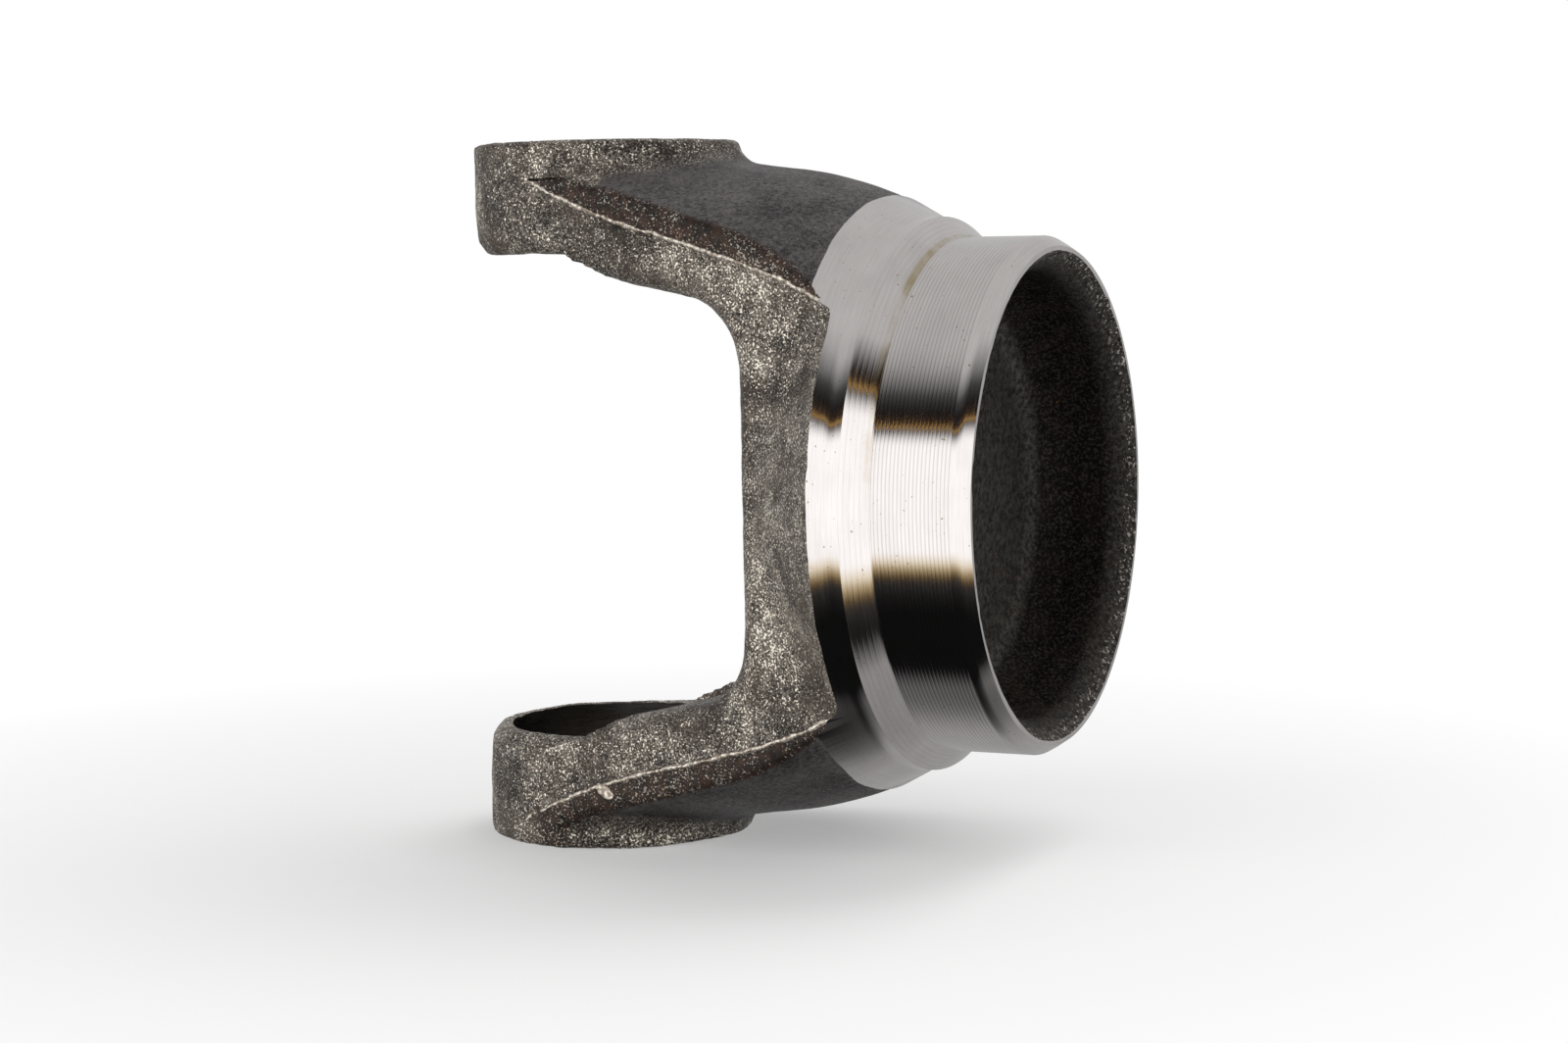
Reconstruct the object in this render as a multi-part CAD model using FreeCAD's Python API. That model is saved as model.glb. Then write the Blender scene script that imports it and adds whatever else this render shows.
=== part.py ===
import FreeCAD, Part
import math
import os

from FreeCAD import Vector

# Weld yoke of a driveshaft universal joint: one forging, then bored, faced and turned.
# The origin is the joint centre. +Z is the cross-bore axis and +X is the axis of the
# tube that is welded to the yoke, pointing to the open mouth. All lengths are in mm.

# Cross bores and ears
bore_radius = 13.5
ear_outer_face = 42.5
ear_inner_face = 29.0
boss_radius = 16.3
boss_edge_break = 0.4
boss_nose_depth = 5.2
boss_nose_inset = 1.5
boss_nose_tip = 1.6
bore_chamfer = 0.5
clip_groove_depth = 0.9
clip_groove_width = 1.7
clip_groove_land = 2.4

# Spot face that the joint cross turns in, cut into the inner side of each arm
spot_face_radius = 16.3
spot_face_flare = 0.35

# Arms: their sides are tangent to the bosses and open towards the cup
arm_side_angle = 12.0
trim_land_height = 0.6
arm_crown_at_axis = 42.05
arm_crown_slope = 0.133
arm_crown_bend_start = 26.0
boss_root_round = 3.6
arm_inner_at_axis = 27.6
arm_inner_slope = 0.19

# Web between the arms
web_face = 26.9
web_corner_radius = 8.5
web_edge_round = 3.2

# Parting land left where the flash was trimmed: the poles of the curve along its inner edge
trim_edge_station_ear = -4.0
trim_edge_height_ear = 38.9
trim_edge_station_arm = 10.9
trim_edge_height_arm = 30.1
trim_edge_station_web = 29.2
trim_edge_height_web = 30.4
trim_edge_station_cup = 44.0
trim_edge_height_cup = 21.0

# Cup blank, as forged
cup_flare_station = 41.1
cup_flare_radius = 33.65
cup_flare_angle = 44.0
cup_flare_depth = 13.0
waist_round = 9.0

# Turned shoulder, weld bevel and tube seat
cone_slope = 0.556
land_radius = 32.6
land_length = 1.1
land_hollow_radius = 3.0
land_hollow_tapers = 2
weld_crest_station = 44.4
weld_bevel_angle = 44.0
relief_depth = 0.18
relief_runout = 0.25
seat_radius = 30.2
seat_length = 9.3
rim_station = 58.5
rim_radius = 29.0

# Stock left on the forging for the lathe, and free travel of the cutting tools
crown_overrun = 4.0
tool_overrun = 6.0

# Forged cavity
rim_land = 0.4
lip_radius = 26.2
lip_depth = 2.5
wall_draft = 6.0
floor_station = 45.8
floor_round = 5.5
floor_round_tapers = 3


def polarPoint(station, radius):
    return Vector(station, 0, radius)


def revolveAboutX(edges):
    face = Part.Face(Part.Wire(edges))
    return face.revolve(Vector(0, 0, 0), Vector(1, 0, 0), 360)


def revolveAboutZ(edges):
    face = Part.Face(Part.Wire(edges))
    return face.revolve(Vector(0, 0, 0), Vector(0, 0, 1), 360)


def lineChain(points):
    return [Part.makeLine(a, b) for a, b in zip(points, points[1:])]


def blendCurve(poles):
    """Smooth curve that leaves its first pole and reaches its last one along the lines between poles."""
    curve = Part.BezierCurve()
    curve.setPoles(poles)
    return curve


def steppedRound(centre, radius, start_angle, end_angle, tapers):
    """Round of a turned profile as a few short tapers, which keeps the mesh of the part light."""
    points = []
    for step in range(tapers + 1):
        angle = start_angle + (end_angle - start_angle) * step / tapers
        points.append(centre + Vector(math.cos(angle), 0, math.sin(angle)) * radius)
    return points


def mirrorDown(shape):
    return shape.mirror(Vector(0, 0, 0), Vector(0, 0, 1))


def coneRadius(station):
    """Radius of the turned cone that runs out into the arms."""
    return cup_flare_radius - cone_slope * (station - cup_flare_station)


def crownRadius(station):
    return arm_crown_at_axis - arm_crown_slope * station


side_tangent = math.tan(math.radians(arm_side_angle))
side_normal = Vector(-math.sin(math.radians(arm_side_angle)), math.cos(math.radians(arm_side_angle)), 0)
blank_reach = rim_station + tool_overrun
outer_reach = ear_outer_face + tool_overrun


def sideHalfWidth(station, side_offset):
    """Half width of the arm plan at a station along the tube axis."""
    start = side_normal * (boss_radius + side_offset)
    return start.y + (station - start.x) * side_tangent


def armPlan(side_offset):
    """Wedge, seen along the bores, whose sides are parallel to the trimmed sides of the arms."""
    start = side_normal * (boss_radius + side_offset)
    far_half = sideHalfWidth(blank_reach, side_offset)
    corners = [
        Vector(start.x, -start.y, -outer_reach),
        Vector(blank_reach, -far_half, -outer_reach),
        Vector(blank_reach, far_half, -outer_reach),
        Vector(start.x, start.y, -outer_reach),
    ]
    outline = Part.makePolygon(corners + corners[:1])
    return Part.Face(outline).extrude(Vector(0, 0, 2 * outer_reach))


def armCrown():
    """Outer surface of both arms, turned about the tube axis: a straight taper that bends down."""
    near = -boss_radius - tool_overrun
    bend_radius = crownRadius(arm_crown_bend_start)
    end_station = cup_flare_station + crown_overrun
    end_radius = coneRadius(end_station)
    middle_station = arm_crown_bend_start + (end_station - arm_crown_bend_start) / 2
    bend = blendCurve([
        polarPoint(arm_crown_bend_start, bend_radius),
        polarPoint(middle_station, crownRadius(middle_station)),
        polarPoint(end_station, end_radius),
    ])
    edges = lineChain([polarPoint(end_station, end_radius), polarPoint(end_station, 0),
                       polarPoint(near, 0), polarPoint(near, crownRadius(near)),
                       polarPoint(arm_crown_bend_start, bend_radius)])
    edges.append(bend.toShape())
    return revolveAboutX(edges)


def gapBlock():
    """Space between the arms, with round corners where they meet the web."""
    near = -outer_reach
    corner_station = web_face - web_corner_radius
    slope = arm_inner_slope
    upper_near = arm_inner_at_axis - slope * near
    tangent_angle = math.atan(slope)
    centre = Vector(corner_station, 0, 0)
    centre.z = (arm_inner_at_axis - slope * centre.x
                - web_corner_radius / math.cos(tangent_angle))
    top = centre + Vector(math.sin(tangent_angle), 0, math.cos(tangent_angle)) * web_corner_radius
    middle_angle = (math.pi / 2 - tangent_angle) / 2
    middle = centre + Vector(math.cos(middle_angle), 0, math.sin(middle_angle)) * web_corner_radius
    side = centre + Vector(web_corner_radius, 0, 0)

    def lower(point):
        return Vector(point.x, point.y, -point.z)

    edges = [
        Part.makeLine(Vector(near, 0, upper_near), top),
        Part.Arc(top, middle, side).toShape(),
        Part.makeLine(side, lower(side)),
        Part.Arc(lower(side), lower(middle), lower(top)).toShape(),
        Part.makeLine(lower(top), Vector(near, 0, -upper_near)),
        Part.makeLine(Vector(near, 0, -upper_near), Vector(near, 0, upper_near)),
    ]
    face = Part.Face(Part.Wire(edges))
    face.translate(Vector(0, -outer_reach, 0))
    return face.extrude(Vector(0, 2 * outer_reach, 0))


def trimBand():
    """Everything outboard of the inner edge of the parting land, on the upper arm."""
    curve = blendCurve([
        polarPoint(trim_edge_station_ear, trim_edge_height_ear),
        polarPoint(trim_edge_station_arm, trim_edge_height_arm),
        polarPoint(trim_edge_station_web, trim_edge_height_web),
        polarPoint(trim_edge_station_cup, trim_edge_height_cup),
    ])
    first = curve.StartPoint
    last = curve.EndPoint
    edges = [curve.toShape()]
    edges += lineChain([last, polarPoint(last.x, outer_reach), polarPoint(first.x, outer_reach), first])
    face = Part.Face(Part.Wire(edges))
    face.translate(Vector(0, -outer_reach, 0))
    return face.extrude(Vector(0, 2 * outer_reach, 0))


def boss():
    """Upper ear boss: a barrel with a broken edge outside and a tapered nose inside."""
    outer = ear_outer_face
    nose_foot = boss_radius - boss_nose_inset
    return revolveAboutZ(lineChain([
        Vector(0, 0, ear_inner_face), Vector(nose_foot, 0, ear_inner_face),
        Vector(boss_radius - boss_nose_inset / 4, 0, ear_inner_face + boss_nose_tip),
        Vector(boss_radius, 0, ear_inner_face + boss_nose_depth),
        Vector(boss_radius, 0, outer - boss_edge_break), Vector(boss_radius - boss_edge_break, 0, outer),
        Vector(0, 0, outer), Vector(0, 0, ear_inner_face),
    ]))


def spotFaceCutter():
    reach = ear_inner_face
    middle = spot_face_radius + spot_face_flare * reach / 2
    return revolveAboutZ(lineChain([
        Vector(0, 0, reach), Vector(spot_face_radius, 0, reach),
        Vector(middle, 0, reach / 2), Vector(middle, 0, 0), Vector(0, 0, 0), Vector(0, 0, reach),
    ]))


def cupBlank():
    """Flare of the forging from inside the web out to the cup, turned about the tube axis."""
    slope = math.tan(math.radians(cup_flare_angle))
    neck = polarPoint(cup_flare_station - cup_flare_depth, cup_flare_radius - cup_flare_depth * slope)
    overrun = polarPoint(cup_flare_station + crown_overrun, cup_flare_radius + crown_overrun * slope)
    return revolveAboutX(lineChain([
        polarPoint(neck.x, 0), neck, overrun, polarPoint(rim_station, overrun.z),
        polarPoint(rim_station, 0), polarPoint(neck.x, 0),
    ]))


def turnedEnvelope():
    """Room that the lathe tool leaves: cone, hollow, land, weld bevel, relief, seat and lead."""
    land_start = weld_crest_station - land_length
    hollow_angle = math.atan(cone_slope)
    hollow_centre = polarPoint(land_start, land_radius + land_hollow_radius)
    hollow = steppedRound(hollow_centre, land_hollow_radius, -math.pi / 2 - hollow_angle,
                          -math.pi / 2, land_hollow_tapers)
    reach_left = -outer_reach
    cone_top = polarPoint(reach_left, hollow[0].z + cone_slope * (hollow[0].x - reach_left))
    crest = polarPoint(weld_crest_station, land_radius)
    relief_radius = seat_radius - relief_depth
    bevel_run = (land_radius - relief_radius) / math.tan(math.radians(weld_bevel_angle))
    bevel_foot = polarPoint(weld_crest_station + bevel_run, relief_radius)
    seat_start = bevel_foot.x + relief_runout
    lead_start = seat_start + seat_length
    return revolveAboutX(lineChain([
        cone_top, *hollow, crest, bevel_foot,
        polarPoint(seat_start, seat_radius), polarPoint(lead_start, seat_radius),
        polarPoint(rim_station, rim_radius), polarPoint(rim_station, 0),
        polarPoint(reach_left, 0), cone_top,
    ]))


def cavity():
    """Forged hollow in the mouth: flared lip, drafted wall, round corner and flat floor."""
    draft = math.radians(wall_draft)
    mouth_radius = rim_radius - rim_land
    lip_station = rim_station - lip_depth
    corner_radius = lip_radius - (lip_station - floor_station) * math.tan(draft)
    corner_reach = floor_round * math.tan((math.pi / 2 - draft) / 2)
    centre = polarPoint(floor_station + floor_round, corner_radius - corner_reach)
    corner_round = steppedRound(centre, floor_round, math.pi, math.pi / 2 + draft, floor_round_tapers)
    return revolveAboutX(lineChain([
        polarPoint(floor_station, 0), *corner_round, polarPoint(lip_station, lip_radius),
        polarPoint(rim_station, mouth_radius), polarPoint(blank_reach, mouth_radius),
        polarPoint(blank_reach, 0), polarPoint(floor_station, 0),
    ]))


def boreTool():
    """Bore of both ears, with its entry chamfers and the grooves for the retaining clips."""
    tool = Part.makeCylinder(bore_radius, 2 * outer_reach, Vector(0, 0, -outer_reach))
    for side in (1, -1):
        axis = Vector(0, 0, side)
        mouth = axis * (ear_outer_face - bore_chamfer)
        wide = bore_radius + 2 * bore_chamfer
        entry = Part.makeCone(bore_radius, wide, 2 * bore_chamfer, mouth, axis)
        foot = axis * (ear_outer_face - clip_groove_land - clip_groove_width)
        groove = Part.makeCylinder(bore_radius + clip_groove_depth, clip_groove_width, foot, axis)
        tool = tool.fuse([entry, groove])
    return tool


def sideDistance(point, side_offset):
    """Distance of a point from the nearer side plane of an arm plan."""
    return abs(abs(point.y) * side_normal.y + point.x * side_normal.x - boss_radius - side_offset)


def edgePoints(edge):
    first = edge.FirstParameter
    last = edge.LastParameter
    return [edge.valueAt(first + (last - first) * share) for share in (0.1, 0.5, 0.9)]


def innerSideEdges(shape, side_offset):
    """Edges where the sides of the arms and web meet the gap between the arms."""
    found = []
    for edge in shape.Edges:
        points = edgePoints(edge)
        on_side = all(sideDistance(point, side_offset) < 0.01 for point in points)
        inboard = all(math.hypot(point.y, point.z) < crownRadius(point.x) - 3 for point in points)
        if on_side and inboard and all(point.x < web_face + 1 for point in points):
            found.append(edge)
    return found


def bossRootEdges(shape):
    """Edges where the boss barrels rise out of the crown of the arms."""
    found = []
    for edge in shape.Edges:
        points = edgePoints(edge)
        on_barrel = all(abs(math.hypot(point.x, point.y) - boss_radius) < 0.01 for point in points)
        on_crown = all(abs(math.hypot(point.y, point.z) - crownRadius(point.x)) < 0.01 for point in points)
        if on_barrel and on_crown:
            found.append(edge)
    return found


def waistEdges(shape):
    """Edges where the sides of the web meet the flare of the cup."""
    slope = math.tan(math.radians(cup_flare_angle))
    found = []
    for edge in shape.Edges:
        points = edgePoints(edge)
        on_side = all(sideDistance(point, -trim_land_height) < 0.01 for point in points)
        on_flare = all(abs(math.hypot(point.y, point.z) - cup_flare_radius
                           - slope * (point.x - cup_flare_station)) < 0.01 for point in points)
        if on_side and on_flare:
            found.append(edge)
    return found


def forging():
    """The yoke as it leaves the dies and the trimming press."""
    crown = armCrown()
    barrel = Part.makeCylinder(boss_radius, 2 * outer_reach, Vector(0, 0, -outer_reach))
    blank = crown.fuse(barrel)
    blank = blank.makeFillet(boss_root_round, bossRootEdges(blank))
    face_slab = Part.makeBox(4 * outer_reach, 4 * outer_reach, 2 * ear_outer_face,
                             Vector(-2 * outer_reach, -2 * outer_reach, -ear_outer_face))
    blank = blank.common(face_slab).cut(gapBlock())
    narrow = blank.common(armPlan(-trim_land_height))
    narrow = narrow.makeFillet(web_edge_round, innerSideEdges(narrow, -trim_land_height))
    waist = narrow.fuse(cupBlank())
    edges = waistEdges(waist)
    waist = waist.makeFillet(waist_round, edges)
    band = trimBand()
    lands = blank.common(armPlan(0)).common(Part.makeCompound([band, mirrorDown(band)]))
    upper = boss()
    return waist.fuse([lands, upper, mirrorDown(upper)])


def yoke():
    body = forging().common(turnedEnvelope())
    body = body.cut([cavity(), spotFaceCutter(), mirrorDown(spotFaceCutter()), boreTool()])
    return body


shape = yoke()
print("solids", len(shape.Solids), "valid", shape.isValid())
os.makedirs("parts", exist_ok=True)
shape.exportStep("parts/yoke.step")
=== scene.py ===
import math

import bmesh
import bpy
from mathutils import Matrix, Vector, noise
from mathutils.bvhtree import BVHTree


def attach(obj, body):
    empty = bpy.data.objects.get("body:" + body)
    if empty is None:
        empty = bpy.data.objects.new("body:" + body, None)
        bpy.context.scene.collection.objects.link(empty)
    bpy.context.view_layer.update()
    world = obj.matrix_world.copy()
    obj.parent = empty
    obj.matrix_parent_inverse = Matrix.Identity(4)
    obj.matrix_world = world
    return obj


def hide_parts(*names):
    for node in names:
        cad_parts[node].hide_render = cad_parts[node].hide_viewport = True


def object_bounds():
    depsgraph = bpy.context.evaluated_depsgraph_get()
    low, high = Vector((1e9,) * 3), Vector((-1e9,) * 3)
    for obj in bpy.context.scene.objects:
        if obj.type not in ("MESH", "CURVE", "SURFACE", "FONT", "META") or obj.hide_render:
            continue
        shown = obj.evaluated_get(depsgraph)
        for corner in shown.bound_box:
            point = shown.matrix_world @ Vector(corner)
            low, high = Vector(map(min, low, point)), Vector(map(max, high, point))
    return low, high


# Forged weld yoke: one forging, bored, faced and turned.
# X is the tube axis towards the mouth, Z is the cross-bore axis. Sizes in the dictionaries are in mm.
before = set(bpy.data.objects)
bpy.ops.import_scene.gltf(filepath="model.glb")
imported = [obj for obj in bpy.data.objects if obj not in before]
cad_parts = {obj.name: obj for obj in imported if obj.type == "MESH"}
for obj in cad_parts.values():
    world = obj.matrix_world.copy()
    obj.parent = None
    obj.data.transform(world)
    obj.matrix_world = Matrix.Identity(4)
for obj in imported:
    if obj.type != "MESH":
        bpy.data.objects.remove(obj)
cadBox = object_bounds()
mm = 0.001


# Mesh helpers

def toObject(name, bm):
    mesh = bpy.data.meshes.new(name)
    bm.to_mesh(mesh)
    bm.free()
    piece = bpy.data.objects.new(name, mesh)
    bpy.context.scene.collection.objects.link(piece)
    return piece


def spun(name, profile, about, steps, closed=False):
    # each point of the profile is (along the axis, out from it)
    bm = bmesh.new()
    along = Vector((1, 0, 0)) if about == "X" else Vector((0, 0, 1))
    out = Vector((0, 0, 1)) if about == "X" else Vector((1, 0, 0))
    points = [bm.verts.new((along * a + out * r) * mm) for a, r in profile]
    pairs = list(zip(points, points[1:]))
    if closed:
        pairs.append((points[-1], points[0]))
    edges = [bm.edges.new(pair) for pair in pairs]
    bmesh.ops.spin(bm, geom=points + edges, cent=(0, 0, 0), axis=along, angle=2 * math.pi,
                   steps=steps, use_merge=True)
    bmesh.ops.remove_doubles(bm, verts=bm.verts, dist=1e-7)
    bmesh.ops.recalc_face_normals(bm, faces=bm.faces)
    return toObject(name, bm)


def prism(name, corners, low, high):
    bm = bmesh.new()
    base = bm.faces.new([bm.verts.new((x * mm, y * mm, low * mm)) for x, y in corners])
    raised = bmesh.ops.extrude_face_region(bm, geom=[base])["geom"]
    top = [item for item in raised if isinstance(item, bmesh.types.BMVert)]
    bmesh.ops.translate(bm, verts=top, vec=(0, 0, (high - low) * mm))
    bmesh.ops.recalc_face_normals(bm, faces=bm.faces)
    return toObject(name, bm)


def applyModifiers(piece):
    depsgraph = bpy.context.evaluated_depsgraph_get()
    finished = bpy.data.meshes.new_from_object(piece.evaluated_get(depsgraph))
    piece.modifiers.clear()
    piece.data = finished


def useFinishes(piece, index):
    piece.data.materials.clear()
    for finish in finishes:
        piece.data.materials.append(finish)
    for face in piece.data.polygons:
        face.material_index = index


def combine(piece, tool, operation):
    cut = piece.modifiers.new(operation, "BOOLEAN")
    cut.operation = operation
    cut.solver = "MANIFOLD"
    cut.object = tool
    applyModifiers(piece)
    bpy.data.objects.remove(tool)


def fade(value, start, end):
    share = min(1.0, max(0.0, (value - start) / (end - start)))
    return share * share * (3 - 2 * share)


# Finishes

slots = {"scale": 0, "turned": 1, "bored": 2, "cavity": 3, "burr": 4}
finishes = [bpy.data.materials.new(name) for name in
            ("forgedScale", "turnedSteel", "boredSteelAndShade", "cavityScaleAndShade", "shearedBurr")]


# Shape of the arms, as the forging and the trimming press leave them

arm = {
    "sideAngle": 12.0, "bossRadius": 16.3, "landHeight": 0.6,
    "crownAtAxis": 42.05, "crownSlope": 0.133, "bendStart": 26.0, "bendEnd": 45.1, "bendEndRadius": 31.43,
    "trimEdge": [(-4.0, 38.9), (10.9, 30.1), (29.2, 30.4), (44.0, 21.0)],
}


def trimPoint(share):
    # cubic through the four poles of the trim edge
    weights = ((1 - share) ** 3, 3 * (1 - share) ** 2 * share, 3 * (1 - share) * share ** 2, share ** 3)
    return tuple(sum(w * pole[axis] for w, pole in zip(weights, arm["trimEdge"])) for axis in (0, 1))


trimTable = [trimPoint(step / 60) for step in range(61)]


def trimHeight(station):
    for (x0, z0), (x1, z1) in zip(trimTable, trimTable[1:]):
        if x0 <= station <= x1:
            return z0 + (z1 - z0) * (station - x0) / (x1 - x0)
    return trimTable[0][1] if station < 0 else trimTable[-1][1]


def sideWidth(station):
    angle = math.radians(arm["sideAngle"])
    return arm["bossRadius"] / math.cos(angle) + station * math.tan(angle)


def crownRadius(station):
    straight = arm["crownAtAxis"] - arm["crownSlope"] * station
    if station <= arm["bendStart"]:
        return straight
    share = (station - arm["bendStart"]) / (arm["bendEnd"] - arm["bendStart"])
    drop = arm["crownAtAxis"] - arm["crownSlope"] * arm["bendEnd"] - arm["bendEndRadius"]
    return straight - drop * share * share


# Forging: the stock that the lathe and the boring bar then cut

forging = {
    "voxel": 0.6, "smoothing": 2,
    "plugRadius": 15.0, "plugLow": 29.6, "plugHigh": 42.2,
    "flare": [(36.0, 28.7), (41.1, 33.65), (46.0, 38.4), (60.0, 38.4), (60.0, 28.8),
              (58.3, 28.6), (50.0, 27.2), (36.0, 27.0)],
    "armRing": [(38.3, 34.0), (38.3, 35.3), (42.5, 34.6), (42.5, 30.0), (38.3, 30.0)],
}


def forgedStock():
    bm = bmesh.new()
    bm.from_mesh(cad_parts["yoke"].data)
    bmesh.ops.remove_doubles(bm, verts=bm.verts, dist=1e-7)
    bmesh.ops.recalc_face_normals(bm, faces=bm.faces)
    stock = toObject("forgedYoke", bm)
    combine(stock, spun("flareStock", forging["flare"], "X", 128, closed=True), "UNION")
    armRing = spun("armRing", forging["armRing"], "X", 128, closed=True)
    near, far = 30, 50
    wedge = [(near, -sideWidth(near)), (far, -sideWidth(far)), (far, sideWidth(far)), (near, sideWidth(near))]
    combine(armRing, prism("armWedge", wedge, -50, 50), "INTERSECT")
    combine(stock, armRing, "UNION")
    for side in (1, -1):
        low, high = side * forging["plugLow"], side * forging["plugHigh"]
        radius = forging["plugRadius"]
        combine(stock, spun("borePlug", [(low, 0), (low, radius), (high, radius), (high, 0)], "Z", 96), "UNION")
    return stock


def refine(piece):
    remesh = piece.modifiers.new("remesh", "REMESH")
    remesh.mode = "VOXEL"
    remesh.voxel_size = forging["voxel"] * mm
    smooth = piece.modifiers.new("smooth", "SMOOTH")
    smooth.factor = 0.5
    smooth.iterations = forging["smoothing"]
    applyModifiers(piece)


# Skin of the forging: broad waves, scale and pits, worked in along each point's normal

skin = {
    "broad": (0.14, 8.0), "middle": (0.07, 2.1), "fine": (0.045, 0.95),
    "pitDepth": 0.22, "pitSize": 2.6, "pitLevel": 0.42,
    "shearDepth": 0.12, "shearAcross": 0.9, "shearAlong": 5.0,
}


def onStrip(x, y, z):
    # 1 on the sheared parting land, 0 elsewhere
    if x < -4.5:
        return 0.0
    side = fade(abs(y), sideWidth(x) - 0.75, sideWidth(x) - 0.35)
    facet = fade(z, 38.0, 38.3) * fade(9.6 - x - (z - 38) * 0.9, 0, 0.5)
    return side * (1 - facet) * fade(abs(z), trimHeight(x) - 0.35, trimHeight(x) + 0.1) * fade(x, -3.2, -2.4)


def onCrown(x, y, z):
    # 1 on the smooth outer side of the arms
    if x < 8:
        return 0.0
    away = math.hypot(y, z) - crownRadius(x)
    return fade(away, -1.1, -0.4) * fade(math.hypot(x, y), 16.4, 18.5) * fade(abs(z), 22, 25)


def inCavity(x, y, z):
    return x > 43.0 and math.hypot(y, z) < 28.75


def wave(place, size, seed):
    return noise.noise(place / size + Vector((seed, 2.3 * seed, -seed)))


def skinHeight(place):
    x, y, z = place
    strip = onStrip(x, y, z)
    crown = onCrown(x, y, z)
    height = skin["broad"][0] * wave(place, skin["broad"][1], 3)
    grain = skin["middle"][0] * wave(place, skin["middle"][1], 11)
    grain += skin["fine"][0] * wave(place, skin["fine"][1], 23)
    pit = fade(wave(place, skin["pitSize"], 37), skin["pitLevel"], skin["pitLevel"] + 0.25)
    height += grain * (1 - 0.65 * crown) - pit * skin["pitDepth"] * (1 - crown)
    if strip > 0:
        run = Vector((x + abs(z) * 0.5, 0, (abs(z) - x * 0.9)))
        run.x /= skin["shearAlong"]
        run.z /= skin["shearAcross"]
        height += strip * skin["shearDepth"] * noise.noise(run + Vector((5, 5, 5 if z > 0 else 9)))
    return height


def workSkin(piece):
    mesh = piece.data
    normals = [Vector(item.vector) for item in mesh.vertex_normals]
    for vert, normal in zip(mesh.vertices, normals):
        vert.co += normal * skinHeight(vert.co / mm) * mm
    mesh.update()


# Burr: the ragged bead that the trimming press leaves along the inner edge of the land

burr = {"start": 0.03, "end": 0.93, "steps": 260, "radius": 0.27, "ragged": 0.16, "wander": 0.22, "sides": 7}


def burrBead(piece, across, up):
    tree = BVHTree.FromObject(piece, bpy.context.evaluated_depsgraph_get())
    seed = 3 * across + up
    bm = bmesh.new()
    rings = []
    centres = []
    for step in range(burr["steps"] + 1):
        x, z = trimPoint(burr["start"] + (burr["end"] - burr["start"]) * step / burr["steps"])
        z += burr["wander"] * noise.noise(Vector((x / 2.2, seed * 7, 0)))
        place = Vector((x, across * (sideWidth(x) - 0.1), up * z)) * mm
        hit = tree.find_nearest(place)
        centres.append(hit[0] if hit[0] else place)
    for step, centre in enumerate(centres):
        ahead = centres[min(step + 1, burr["steps"])] - centres[max(step - 1, 0)]
        size = burr["radius"] + burr["ragged"] * noise.noise(Vector((step / 3.1, seed, 4)))
        size += burr["ragged"] * noise.noise(Vector((step / 14, seed, 8)))
        size = max(0.1, size) * (0.35 if step in (0, burr["steps"]) else 1)
        ring = bmesh.ops.create_circle(bm, segments=burr["sides"], radius=size * mm)["verts"]
        turn = ahead.to_track_quat("Z", "Y").to_matrix().to_4x4()
        bmesh.ops.transform(bm, verts=ring, matrix=Matrix.Translation(centre) @ turn)
        rings.append(ring)
    for first, second in zip(rings, rings[1:]):
        edges = [edge for ring in (first, second) for edge in
                 {link for vert in ring for link in vert.link_edges
                  if link.other_vert(vert) in ring}]
        bmesh.ops.bridge_loops(bm, edges=edges)
    bmesh.ops.holes_fill(bm, edges=[edge for edge in bm.edges if edge.is_boundary], sides=0)
    bmesh.ops.triangulate(bm, faces=bm.faces)
    bmesh.ops.recalc_face_normals(bm, faces=bm.faces)
    bead = toObject("burr", bm)
    useFinishes(bead, slots["burr"])
    combine(piece, bead, "UNION")


# Marks on the -Y side: at is (X, Z) on the sheared side of the arm, and sunk is how far in the face lies there

marks = {
    "crease": {"at": (3.6, 38.0), "long": 11.6, "wide": 0.42, "deep": 0.34, "tilt": 1.5},
    "struckScar": {"at": (7.2, -34.7), "long": 3.2, "wide": 1.5, "deep": 0.22, "tilt": -24, "finish": "burr"},
    "shearUpper": {"at": (3.0, -38.9), "long": 5.4, "wide": 0.4, "deep": 0.24, "tilt": -8},
    "shearLower": {"at": (2.8, -39.9), "long": 6.2, "wide": 0.45, "deep": 0.26, "tilt": -8},
    "nick": {"at": (-4.6, -38.8), "long": 2.4, "wide": 0.35, "deep": 0.16, "tilt": 42, "finish": "burr"},
    "nickBeside": {"at": (-5.9, -39.2), "long": 1.3, "wide": 0.3, "deep": 0.14, "tilt": 40, "finish": "burr"},
    "pitUpper": {"at": (34.0, -7.0), "long": 0.85, "wide": 0.8, "deep": 0.5, "tilt": 4, "sunk": 0.6},
    "pitLower": {"at": (33.95, -9.5), "long": 0.8, "wide": 0.85, "deep": 0.5, "tilt": -3, "sunk": 0.6},
    "crack": {"at": (36.4, -11.0), "long": 4.8, "wide": 0.3, "deep": 0.4, "tilt": -72, "sunk": 0.6},
}


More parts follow.
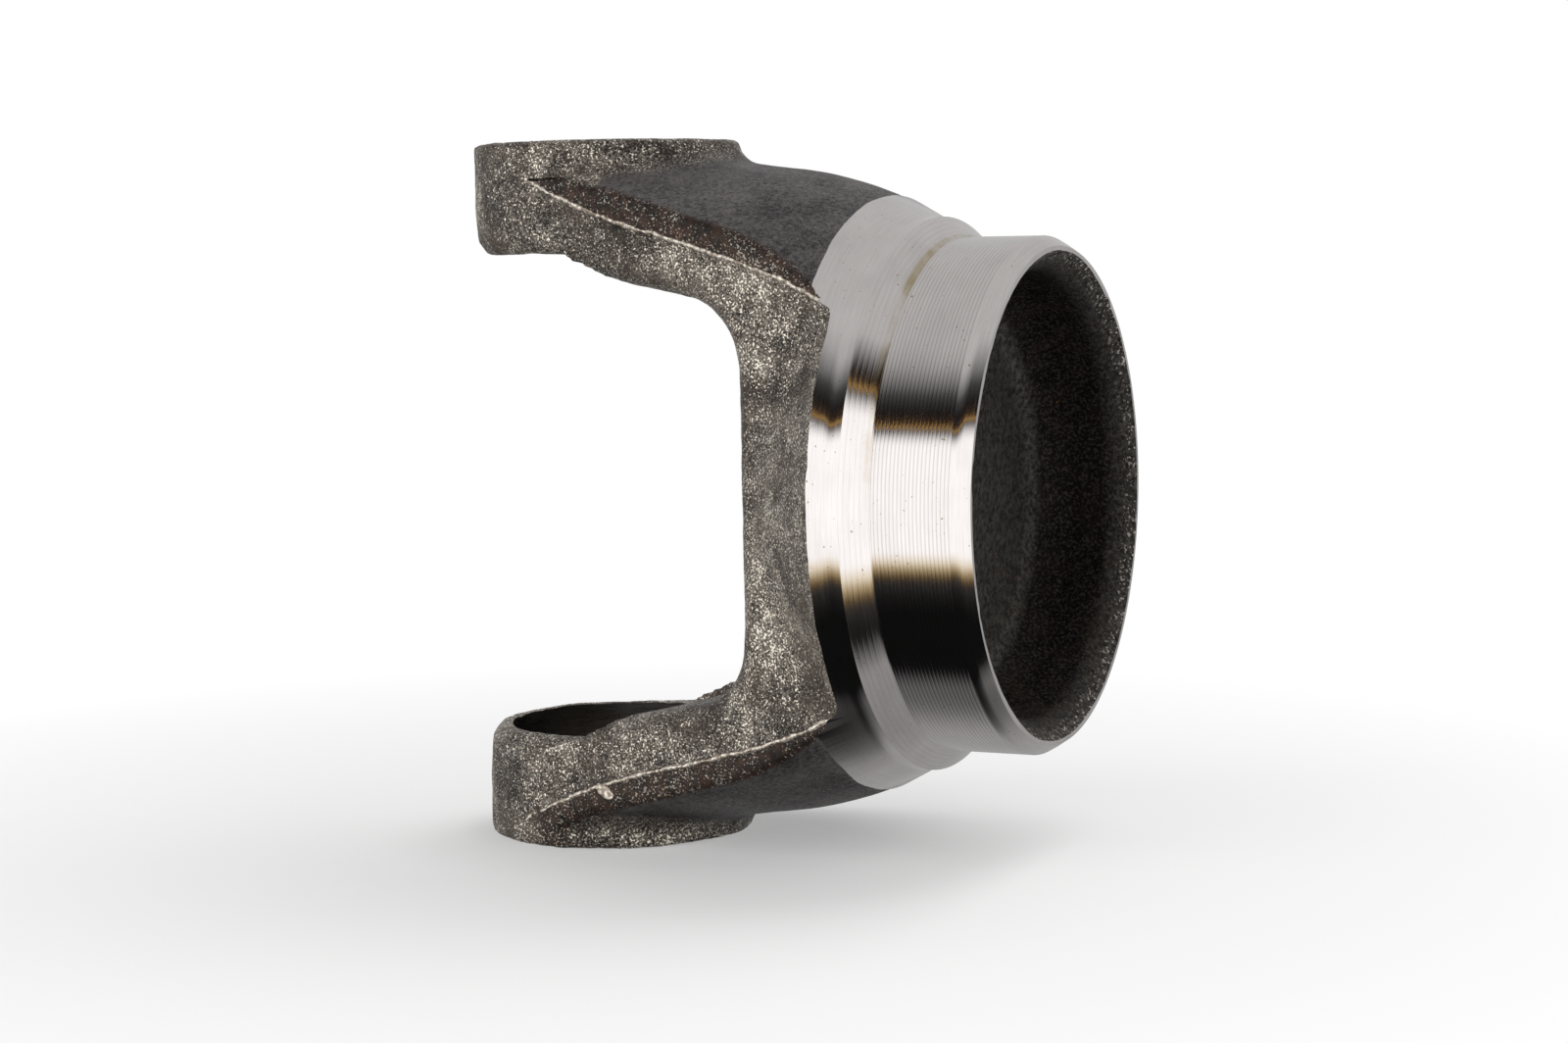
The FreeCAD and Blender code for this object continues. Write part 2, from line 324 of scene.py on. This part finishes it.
def strike(piece, name, mark):
    # pits are square, bare scars are round dents, and the rest are V grooves
    finish = mark.get("finish", "scale")
    bm = bmesh.new()
    if name.startswith("pit"):
        bmesh.ops.create_cube(bm, size=2)
    elif finish == "burr":
        bmesh.ops.create_icosphere(bm, subdivisions=3, radius=1)
    else:
        bmesh.ops.create_cone(bm, cap_ends=True, segments=4, radius1=1, radius2=1, depth=2)
        bmesh.ops.rotate(bm, verts=bm.verts, matrix=Matrix.Rotation(math.pi / 2, 3, "Y"))
    bmesh.ops.scale(bm, verts=bm.verts, vec=Vector((mark["long"] / 2, mark["deep"], mark["wide"] / 2)) * mm)
    turn = (Matrix.Rotation(-math.radians(arm["sideAngle"]), 4, "Z")
            @ Matrix.Rotation(-math.radians(mark["tilt"]), 4, "Y"))
    station, height = mark["at"]
    sunk = mark.get("sunk", 0) / math.cos(math.radians(arm["sideAngle"]))
    place = Vector((station, -sideWidth(station) + sunk, height)) * mm
    bmesh.ops.transform(bm, verts=bm.verts, matrix=Matrix.Translation(place) @ turn)
    bmesh.ops.recalc_face_normals(bm, faces=bm.faces)
    cutter = toObject(name, bm)
    useFinishes(cutter, slots[finish])
    combine(piece, cutter, "DIFFERENCE")


# Machining: what the lathe and the boring bar leave

turning = {
    "coneRadius": 33.65, "coneStation": 41.1, "coneSlope": 0.556,
    "landRadius": 32.6, "crest": 44.4, "bevelFoot": 47.05, "reliefRadius": 30.02,
    "seatRadius": 30.2, "seatStart": 47.32, "seatEnd": 56.62, "rim": 58.5, "rimRadius": 29.0,
    "bevelEnd": (46.6, 30.46), "feed": 0.46, "feedDepth": 0.011, "bevelFeed": 0.38, "bevelFeedDepth": 0.0044,
    "steps": 256,
}


def feedMarks(start, end, feed, depth):
    # ridge and furrow of each turn of the lathe between two points of the profile
    turns = max(1, round(abs(end[0] - start[0]) / feed))
    points = []
    for turn in range(turns):
        for part, drop in ((0, 0), (0.6, depth)):
            share = (turn + part) / turns
            points.append((start[0] + (end[0] - start[0]) * share,
                           start[1] + (end[1] - start[1]) * share - drop))
    return points


def turnedProfile():
    t = turning
    cone = [(x, t["coneRadius"] - t["coneSlope"] * (x - t["coneStation"])) for x in (-60, 20, 34, 37.5, 41.9)]
    hollow = [(42.4, 32.98), (42.8, 32.76), (43.3, 32.64), (43.9, t["landRadius"])]
    crest = (t["crest"], t["landRadius"])
    seatStart, seatEnd = (t["seatStart"], t["seatRadius"]), (t["seatEnd"], t["seatRadius"])
    bevel = feedMarks(crest, t["bevelEnd"], t["bevelFeed"], t["bevelFeedDepth"])
    foot = [t["bevelEnd"], (46.85, 30.2), (t["bevelFoot"], t["reliefRadius"]), (47.2, 30.04)]
    seat = feedMarks(seatStart, seatEnd, t["feed"], t["feedDepth"])
    lead = [seatEnd, (57.5, 29.68), (t["rim"], t["rimRadius"]), (t["rim"], 0)]
    return [(-60, 0)] + cone + hollow + bevel + foot + seat + lead


boring = {
    "faceHeight": 42.5, "spotHeight": 29.0, "spotRadius": 16.3, "spotFlare": (14.5, 21.4),
    "radius": 13.5, "chamfer": 0.5, "grooveRadius": 14.4, "groove": (38.4, 40.1),
}


def boreProfile():
    face, low, high = boring["faceHeight"], boring["groove"][0], boring["groove"][1]
    radius, wide = boring["radius"], boring["radius"] + 2 * boring["chamfer"]
    half = [(60, 0), (60, wide), (face + boring["chamfer"], wide), (face - boring["chamfer"], radius),
            (high, radius), (high, boring["grooveRadius"]), (low, boring["grooveRadius"]), (low, radius)]
    return half + [(-z, r) for z, r in reversed(half)]


def machine(piece):
    envelope = spun("turnedEnvelope", turnedProfile(), "X", turning["steps"])
    useFinishes(envelope, slots["turned"])
    combine(piece, envelope, "INTERSECT")
    faces = prism("facedSlab", [(-60, -60), (80, -60), (80, 60), (-60, 60)],
                  -boring["faceHeight"], boring["faceHeight"])
    useFinishes(faces, slots["bored"])
    combine(piece, faces, "INTERSECT")
    for side in (1, -1):
        foot, wide = boring["spotFlare"]
        spot = [(side * boring["spotHeight"], 0), (side * boring["spotHeight"], boring["spotRadius"]),
                (side * foot, wide), (0, wide), (0, 0)]
        cutter = spun("spotFace", spot, "Z", 160)
        useFinishes(cutter, slots["scale"])
        combine(piece, cutter, "DIFFERENCE")
    cutter = spun("boreTool", boreProfile(), "Z", 192)
    useFinishes(cutter, slots["bored"])
    combine(piece, cutter, "DIFFERENCE")


def markZones(piece):
    # the finish of the forged hollow, and the masks that the finishes read
    mesh = piece.data
    for face in mesh.polygons:
        if face.material_index == slots["scale"] and inCavity(*(face.center / mm)):
            face.material_index = slots["cavity"]
    strip = mesh.attributes.new("strip", "FLOAT", "POINT")
    crown = mesh.attributes.new("crown", "FLOAT", "POINT")
    places = [vert.co / mm for vert in mesh.vertices]
    strip.data.foreach_set("value", [onStrip(*place) for place in places])
    crown.data.foreach_set("value", [onCrown(*place) for place in places])


yoke = forgedStock()
refine(yoke)
print("forging", len(yoke.data.polygons), "faces")
workSkin(yoke)
useFinishes(yoke, slots["scale"])
for across in (1, -1):
    for up in (1, -1):
        burrBead(yoke, across, up)
for name, mark in marks.items():
    strike(yoke, name, mark)
print("burr and marks on", len(yoke.data.polygons), "faces")
machine(yoke)
markZones(yoke)
yoke.data.shade_smooth()
yoke.data.set_sharp_from_angle(angle=math.radians(35))
triangles = sum(len(face.vertices) - 2 for face in yoke.data.polygons)
print("machined", triangles, "triangles")
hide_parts("yoke")
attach(yoke, "root")


# Node helpers

class Nodes:
    def __init__(self, owner, coordinates="Object"):
        owner.use_nodes = True
        self.tree = owner.node_tree
        self.shader = self.tree.nodes.get("Principled BSDF")
        self.place = self.tree.nodes.new("ShaderNodeTexCoord").outputs[coordinates]

    def link(self, source, target):
        self.tree.links.new(source, target)

    def feed(self, socket, value):
        if isinstance(value, bpy.types.NodeSocket):
            self.link(value, socket)
        else:
            socket.default_value = value

    def scaled(self, stretch):
        node = self.tree.nodes.new("ShaderNodeMapping")
        node.inputs["Scale"].default_value = stretch
        self.link(self.place, node.inputs["Vector"])
        return node.outputs["Vector"]

    def noise(self, size, detail=3.0, rough=0.55, stretch=None, distortion=0.0):
        node = self.tree.nodes.new("ShaderNodeTexNoise")
        node.inputs["Scale"].default_value = 1 / (size * mm)
        node.inputs["Detail"].default_value = detail
        node.inputs["Roughness"].default_value = rough
        node.inputs["Distortion"].default_value = distortion
        self.link(self.scaled(stretch) if stretch else self.place, node.inputs["Vector"])
        return node.outputs["Fac"]

    def ramp(self, source, stops):
        node = self.tree.nodes.new("ShaderNodeValToRGB")
        ramp = node.color_ramp
        while len(ramp.elements) < len(stops):
            ramp.elements.new(0.5)
        for element, (position, value) in zip(ramp.elements, stops):
            element.position = position
            element.color = (*value, 1) if isinstance(value, tuple) else (value, value, value, 1)
        self.link(source, node.inputs["Fac"])
        return node.outputs["Color"]

    def mix(self, amount, first, second):
        node = self.tree.nodes.new("ShaderNodeMix")
        node.data_type = "RGBA"
        self.feed(node.inputs["Factor"], amount)
        for name, value in (("A", first), ("B", second)):
            socket = next(item for item in node.inputs if item.name == name and item.type == "RGBA")
            self.feed(socket, (*value, 1) if isinstance(value, tuple) else value)
        return next(item for item in node.outputs if item.type == "RGBA")

    def math(self, operation, first, second=0.0):
        node = self.tree.nodes.new("ShaderNodeMath")
        node.operation = operation
        self.feed(node.inputs[0], first)
        self.feed(node.inputs[1], second)
        return node.outputs[0]

    def axis(self, letter):
        node = self.tree.nodes.new("ShaderNodeSeparateXYZ")
        self.link(self.place, node.inputs[0])
        return node.outputs[letter]

    def between(self, value, low, high):
        # 0 at low, 1 at high
        return self.math("DIVIDE", self.math("SUBTRACT", value, low), high - low)

    def rays(self, *kinds):
        # 1 for the kinds of ray that are named
        path = self.tree.nodes.new("ShaderNodeLightPath")
        total = path.outputs[kinds[0]]
        for kind in kinds[1:]:
            total = self.math("MAXIMUM", total, path.outputs[kind])
        return total

    def attribute(self, name):
        node = self.tree.nodes.new("ShaderNodeAttribute")
        node.attribute_name = name
        return node.outputs["Fac"]

    def bump(self, height, distance, strength=1.0, under=None):
        node = self.tree.nodes.new("ShaderNodeBump")
        node.inputs["Strength"].default_value = strength
        node.inputs["Distance"].default_value = distance * mm
        self.link(height, node.inputs["Height"])
        if under is not None:
            self.link(under, node.inputs["Normal"])
        return node.outputs["Normal"]


# Forged scale: dark oxide with bare bright grains, smoother on the crown, brown on the sheared land

scaleFinish = {
    "oxide": (0.018, 0.015, 0.013), "oxideWarm": (0.060, 0.045, 0.035), "grain": (0.25, 0.222, 0.190),
    "bright": (0.97, 0.90, 0.79), "crown": (0.018, 0.017, 0.019), "crownLight": (0.125, 0.115, 0.113),
    "stripDark": (0.008, 0.005, 0.004), "stripBrown": (0.050, 0.024, 0.015),
    "grainSize": 0.26, "flakes": (2.4, 0.36), "patches": (9.0, 0.40), "gloss": 0.22,
    "crownCover": 0.93, "stripCover": 0.95,
}


def forgedScale(material):
    n = Nodes(material)
    f = scaleFinish
    strip, crown = n.attribute("strip"), n.attribute("crown")
    fine = n.noise(f["grainSize"], 2.0, 0.6)
    (flakeSize, flakeShare), (patchSize, patchShare) = f["flakes"], f["patches"]
    flaked = n.math("MULTIPLY", n.math("SUBTRACT", n.noise(flakeSize, 3.0, 0.65), 0.5), flakeShare)
    patchy = n.noise(patchSize, 2.0, 0.5, distortion=0.4)
    patchy = n.math("MULTIPLY", n.math("SUBTRACT", patchy, 0.5), patchShare)
    uneven = n.math("SUBTRACT", n.math("ADD", flaked, patchy), 0.02)
    oxide = n.mix(n.ramp(n.noise(6.0, 3.0, 0.6), [(0.38, 0.0), (0.62, 1.0)]), f["oxide"], f["oxideWarm"])
    grains = n.ramp(n.math("ADD", fine, uneven), [(0.41, 0.0), (0.63, 1.0)])
    body = n.mix(grains, oxide, f["grain"])
    sparks = n.math("ADD", n.noise(f["grainSize"] * 0.95, 1.0, 0.5), n.math("MULTIPLY", uneven, 0.7))
    sparks = n.ramp(sparks, [(0.60, 0.0), (0.65, 1.0)])
    body = n.mix(sparks, body, f["bright"])
    calm = n.math("MULTIPLY", n.noise(0.55, 4.0, 0.7), 0.7)
    calm = n.math("ADD", calm, n.math("MULTIPLY", n.noise(6.0, 3.0), 0.3))
    calm = n.mix(n.ramp(calm, [(0.40, 0.0), (0.61, 1.0)]), f["crown"], f["crownLight"])
    body = n.mix(n.math("MULTIPLY", crown, f["crownCover"]), body, calm)
    rusty = n.ramp(n.noise(1.6, 4.0, 0.7), [(0.42, 0.0), (0.64, 1.0)])
    brown = n.mix(rusty, f["stripDark"], f["stripBrown"])
    bare = n.math("MAXIMUM", n.math("MULTIPLY", grains, 0.06), sparks)
    brown = n.mix(n.math("MULTIPLY", bare, 0.42), brown, f["bright"])
    body = n.mix(n.math("MULTIPLY", strip, f["stripCover"]), body, brown)
    n.link(body, n.shader.inputs["Base Color"])
    metal = n.math("MULTIPLY", n.math("MAXIMUM", n.math("MULTIPLY", grains, 0.6), sparks), 0.85)
    n.link(n.math("MULTIPLY", metal, n.math("SUBTRACT", 1.0, n.math("MULTIPLY", crown, 0.6))),
           n.shader.inputs["Metallic"])
    n.shader.inputs["Specular IOR Level"].default_value = f["gloss"]
    n.link(n.ramp(fine, [(0.35, 0.62), (0.65, 0.34)]), n.shader.inputs["Roughness"])
    coarse = n.bump(n.noise(1.3, 3.0, 0.6), 0.13)
    n.link(n.bump(fine, 0.085, under=coarse), n.shader.inputs["Normal"])


# Forged hollow: scale darkened to nearly black as painted shade of the hollow, lighter on the floor, and
# lighter at the lip as a painted highlight

cavityFinish = {
    "dark": (0.004, 0.003, 0.003), "brown": (0.013, 0.009, 0.007), "grain": (0.07, 0.06, 0.055),
    "palePatches": (0.24, 0.225, 0.205), "bare": (0.80, 0.74, 0.66), "rust": (0.34, 0.12, 0.035),
    "from": 44.0, "to": 60.0, "gloss": 0.08,
    "floorAndLip": [(0.125, 0.36), (0.153, 0.60), (0.223, 0.0), (0.68, 0.0), (0.82, 0.24), (0.92, 0.6)],
    "rim": [(0.80, 0.0), (0.90, 1.0)],
}


def cavityScaleAndShade(material):
    n = Nodes(material)
    f = cavityFinish
    fine = n.noise(0.36, 2.0, 0.6)
    depth = n.between(n.axis("X"), f["from"] * mm, f["to"] * mm)
    # lighter patches towards the floor, and at the lip a painted highlight
    floorAndLip = n.ramp(depth, f["floorAndLip"])
    # painted shade: the near-black dark and brown stand for the shade inside the hollow, darker than the scale
    # outside
    body = n.mix(n.ramp(n.noise(3.0, 3.0, 0.6), [(0.4, 0.0), (0.65, 1.0)]), f["dark"], f["brown"])
    grains = n.ramp(fine, [(0.48, 0.0), (0.64, 1.0)])
    body = n.mix(n.math("MULTIPLY", grains, 0.8), body, f["grain"])
    palePatches = n.ramp(n.noise(0.8, 4.0, 0.75), [(0.42, 0.15), (0.62, 1.0)])
    body = n.mix(n.math("MULTIPLY", floorAndLip, palePatches), body, f["palePatches"])
    # bright flecks at the lip: partly bare metal, partly a painted highlight of the lip
    flecks = n.ramp(n.noise(0.42, 2.0, 0.6), [(0.58, 0.0), (0.65, 1.0)])
    body = n.mix(n.math("MULTIPLY", flecks, n.ramp(depth, f["rim"])), body, f["bare"])
    rust = n.ramp(n.noise(1.0, 1.0, 0.5), [(0.79, 0.0), (0.82, 1.0)])
    body = n.mix(rust, body, f["rust"])
    n.link(body, n.shader.inputs["Base Color"])
    n.link(n.math("MULTIPLY", grains, 0.5), n.shader.inputs["Metallic"])
    n.shader.inputs["Roughness"].default_value = 0.6
    n.shader.inputs["Specular IOR Level"].default_value = f["gloss"]
    coarse = n.bump(n.noise(1.5, 3.0, 0.6), 0.14)
    n.link(n.bump(fine, 0.10, under=coarse), n.shader.inputs["Normal"])


# Turned steel: fine streaks round the axis, the lathe's feed lines on the seat and the bevel with each furrow
# darkened as painted shade, and an oil-brown film in the relief at the bevel's foot. The stops are shares of
# the way from one X to the other.

turnedFinish = {
    "steel": (0.80, 0.762, 0.748), "dull": (0.73, 0.69, 0.68), "shadedFurrow": (0.42, 0.39, 0.38),
    "stain": (0.30, 0.22, 0.12), "feed": 0.46, "from": 40.0, "to": 60.0,
    "fed": [(0.215, 0.0), (0.222, 0.3), (0.33, 0.3), (0.338, 0.0), (0.364, 0.0), (0.372, 1.0),
            (0.828, 1.0), (0.836, 0.0)],
    "foot": [(0.318, 0.0), (0.332, 1.0), (0.362, 1.0), (0.372, 0.0)],
    "film": (0.42, 0.33, 0.16), "filmHeight": 16.0,
}


def turnedSteel(material):
    n = Nodes(material)
    f = turnedFinish
    along = n.axis("X")
    place = n.between(along, f["from"] * mm, f["to"] * mm)
    fed = n.ramp(place, f["fed"])
    turn = n.math("FRACT", n.math("DIVIDE", along, f["feed"] * mm))
    shadedFurrow = n.math("MULTIPLY", n.ramp(turn, [(0.0, 0.0), (0.3, 0.0), (0.55, 1.0), (0.8, 0.0)]), fed)
    streaks = n.noise(0.10, 3.0, 0.65, stretch=(1.0, 0.02, 0.02))
    haze = n.noise(7.0, 3.0, 0.5)
    body = n.mix(n.ramp(haze, [(0.4, 0.0), (0.7, 1.0)]), f["steel"], f["dull"])
    # the darker colour is painted shade in each feed furrow below, and it also darkens the fine streaks here
    body = n.mix(n.ramp(streaks, [(0.35, 0.22), (0.6, 0.0)]), body, f["shadedFurrow"])
    body = n.mix(n.math("MULTIPLY", shadedFurrow, 0.62), body, f["shadedFurrow"])
    upper = n.ramp(n.between(n.axis("Z"), 0.0, f["filmHeight"] * mm), [(0.0, 0.0), (1.0, 1.0)])
    film = n.ramp(n.noise(7.0, 4.0, 0.6), [(0.32, 0.1), (0.62, 0.8)])
    film = n.math("MULTIPLY", film, n.ramp(place, f["foot"]))
    body = n.mix(n.math("MULTIPLY", film, upper), body, f["film"])
    specks = n.ramp(n.noise(0.4, 1.0, 0.5), [(0.74, 0.0), (0.78, 1.0)])
    body = n.mix(specks, body, f["stain"])
    n.link(body, n.shader.inputs["Base Color"])
    n.shader.inputs["Metallic"].default_value = 1.0
    n.link(n.ramp(streaks, [(0.3, 0.07), (0.7, 0.13)]), n.shader.inputs["Roughness"])
    lines = n.bump(streaks, 0.003, 0.5)
    n.link(n.bump(shadedFurrow, 0.012, 0.6, under=lines), n.shader.inputs["Normal"])


# Bored steel: dull oily steel darkened as painted shade of the bore's inside, with fine rings round the bore

boredFinish = {"steel": (0.17, 0.16, 0.15), "dull": (0.10, 0.09, 0.085)}


def boredSteelAndShade(material):
    n = Nodes(material)
    f = boredFinish
    lines = n.noise(0.15, 3.0, 0.6, stretch=(0.05, 0.05, 1.0))
    # painted shade: the steel and dull colours are kept dark for the shade inside the bore, and the faced ends
    # of the ears take this finish too
    n.link(n.mix(n.noise(4.0, 3.0, 0.6), f["steel"], f["dull"]), n.shader.inputs["Base Color"])
    n.shader.inputs["Metallic"].default_value = 1.0
    n.link(n.ramp(lines, [(0.3, 0.24), (0.7, 0.4)]), n.shader.inputs["Roughness"])
    n.link(n.bump(lines, 0.006, 0.7), n.shader.inputs["Normal"])


# Burr and struck marks: bare bright metal with dull hollows

burrFinish = {"dull": (0.30, 0.24, 0.19), "bright": (0.95, 0.88, 0.78)}


def shearedBurr(material):
    n = Nodes(material)
    f = burrFinish
    fine = n.noise(0.5, 2.0, 0.6)
    bare = n.ramp(fine, [(0.4, 0.0), (0.62, 1.0)])
    n.link(n.mix(bare, f["dull"], f["bright"]), n.shader.inputs["Base Color"])
    n.shader.inputs["Metallic"].default_value = 0.7
    n.shader.inputs["Roughness"].default_value = 0.42
    n.link(n.bump(fine, 0.08), n.shader.inputs["Normal"])


for finish, recipe in zip(finishes, (forgedScale, turnedSteel, boredSteelAndShade, cavityScaleAndShade, shearedBurr)):
    recipe(finish)
print("finishes", len(finishes))


# Stage, lights and camera. The room's stops run from straight down to straight up.

stage = {
    "azimuth": 24.75, "elevation": 5.5, "roll": -1.114,
    "camera": (0.1773, -0.3347, 0.0317), "lens": 70.09,
    "floorColor": (0.95, 0.95, 0.95), "floorFade": (0.05, 0.15), "floorGlow": 0.35, "ambient": 0.17,
    "front": [(0.0, 0.006), (0.16, 0.006), (0.20, 0.012), (0.245, 0.03), (0.262, (0.12, 0.075, 0.03)),
              (0.285, (0.50, 0.38, 0.20)), (0.305, (1.0, 0.90, 0.70)), (0.335, 1.3), (0.702, 1.3),
              (0.722, 0.9), (0.738, 0.30), (0.747, 0.05), (0.753, (0.03, 0.015, 0.008)),
              (0.757, (1.0, 0.56, 0.10)), (0.762, (0.03, 0.015, 0.008)), (0.805, 0.012), (0.845, 0.055),
              (0.885, 0.28), (0.92, 0.50), (0.95, 0.57), (1.0, 0.58)],
    "back": [(0.0, 0.015), (0.015, 0.05), (0.045, 0.15), (0.08, 0.29), (0.13, 0.36), (0.46, 0.40),
             (0.54, 0.55), (1.0, 0.56)],
}


def floor():
    bm = bmesh.new()
    bmesh.ops.create_grid(bm, x_segments=1, y_segments=1, size=4.0)
    bmesh.ops.translate(bm, verts=bm.verts, vec=(0, 0, cadBox[0].z))
    piece = toObject("floor", bm)
    material = bpy.data.materials.new("paleFloor")
    n = Nodes(material)
    n.shader.inputs["Base Color"].default_value = (*stage["floorColor"], 1)
    n.shader.inputs["Roughness"].default_value = 0.8
    away = n.tree.nodes.new("ShaderNodeVectorMath")
    away.operation = "LENGTH"
    n.link(n.place, away.inputs[0])
    near, far = stage["floorFade"]
    share = n.ramp(n.between(away.outputs["Value"], near, far), [(0.0, stage["floorGlow"]), (1.0, 1.0)])
    seen = n.math("MULTIPLY", share, n.rays("Is Camera Ray", "Is Glossy Ray", "Is Transmission Ray"))
    white = n.tree.nodes.new("ShaderNodeEmission")
    blend = n.tree.nodes.new("ShaderNodeMixShader")
    n.link(seen, blend.inputs["Fac"])
    n.link(n.shader.outputs["BSDF"], blend.inputs[1])
    n.link(white.outputs["Emission"], blend.inputs[2])
    n.link(blend.outputs["Shader"], n.tree.nodes["Material Output"].inputs["Surface"])
    piece.data.materials.append(material)
    piece.visible_glossy = False


def lamp(name, place, aim, size, power):
    data = bpy.data.lights.new(name, "AREA")
    data.shape = "RECTANGLE"
    data.size, data.size_y = size
    data.energy = power
    light = bpy.data.objects.new(name, data)
    bpy.context.scene.collection.objects.link(light)
    light.location = place
    light.visible_glossy = False
    light.rotation_euler = (Vector(aim) - Vector(place)).to_track_quat("-Z", "Y").to_euler()


def camera():
    data = bpy.data.cameras.new("camera")
    data.lens = stage["lens"]
    data.sensor_width = 36
    view = bpy.data.objects.new("camera", data)
    bpy.context.scene.collection.objects.link(view)
    turn = (Matrix.Rotation(math.radians(stage["azimuth"]), 4, "Z")
            @ Matrix.Rotation(math.radians(90 - stage["elevation"]), 4, "X")
            @ Matrix.Rotation(math.radians(stage["roll"]), 4, "Z"))
    view.matrix_world = Matrix.Translation(stage["camera"]) @ turn
    bpy.context.scene.camera = view


def studio():
    # white where it is seen directly; in gloss a bright strip light in a dark room on the -Y side, grey behind
    world = bpy.data.worlds.new("studio")
    n = Nodes(world, "Generated")
    height = n.between(n.axis("Z"), -1.0, 1.0)
    facing = n.ramp(n.math("MULTIPLY", n.axis("Y"), -1.0), [(0.0, 0.0), (0.15, 1.0)])
    room = n.mix(facing, n.ramp(height, stage["back"]), n.ramp(height, stage["front"]))
    level = n.mix(n.rays("Is Glossy Ray"), (stage["ambient"],) * 3, room)
    level = n.mix(n.rays("Is Camera Ray", "Is Transmission Ray"), level, (1.0, 1.0, 1.0))
    n.link(level, n.tree.nodes["Background"].inputs["Color"])
    bpy.context.scene.world = world


floor()
camera()
studio()
lamp("key", (-0.36, -0.60, 0.22), (0, 0, 0), (0.5, 0.45), 3.0)
lamp("top", (0.2, 0.3, 0.6), (0, 0, 0), (0.6, 0.6), 3.6)
bpy.context.scene.view_settings.view_transform = "Standard"
print("stage set")
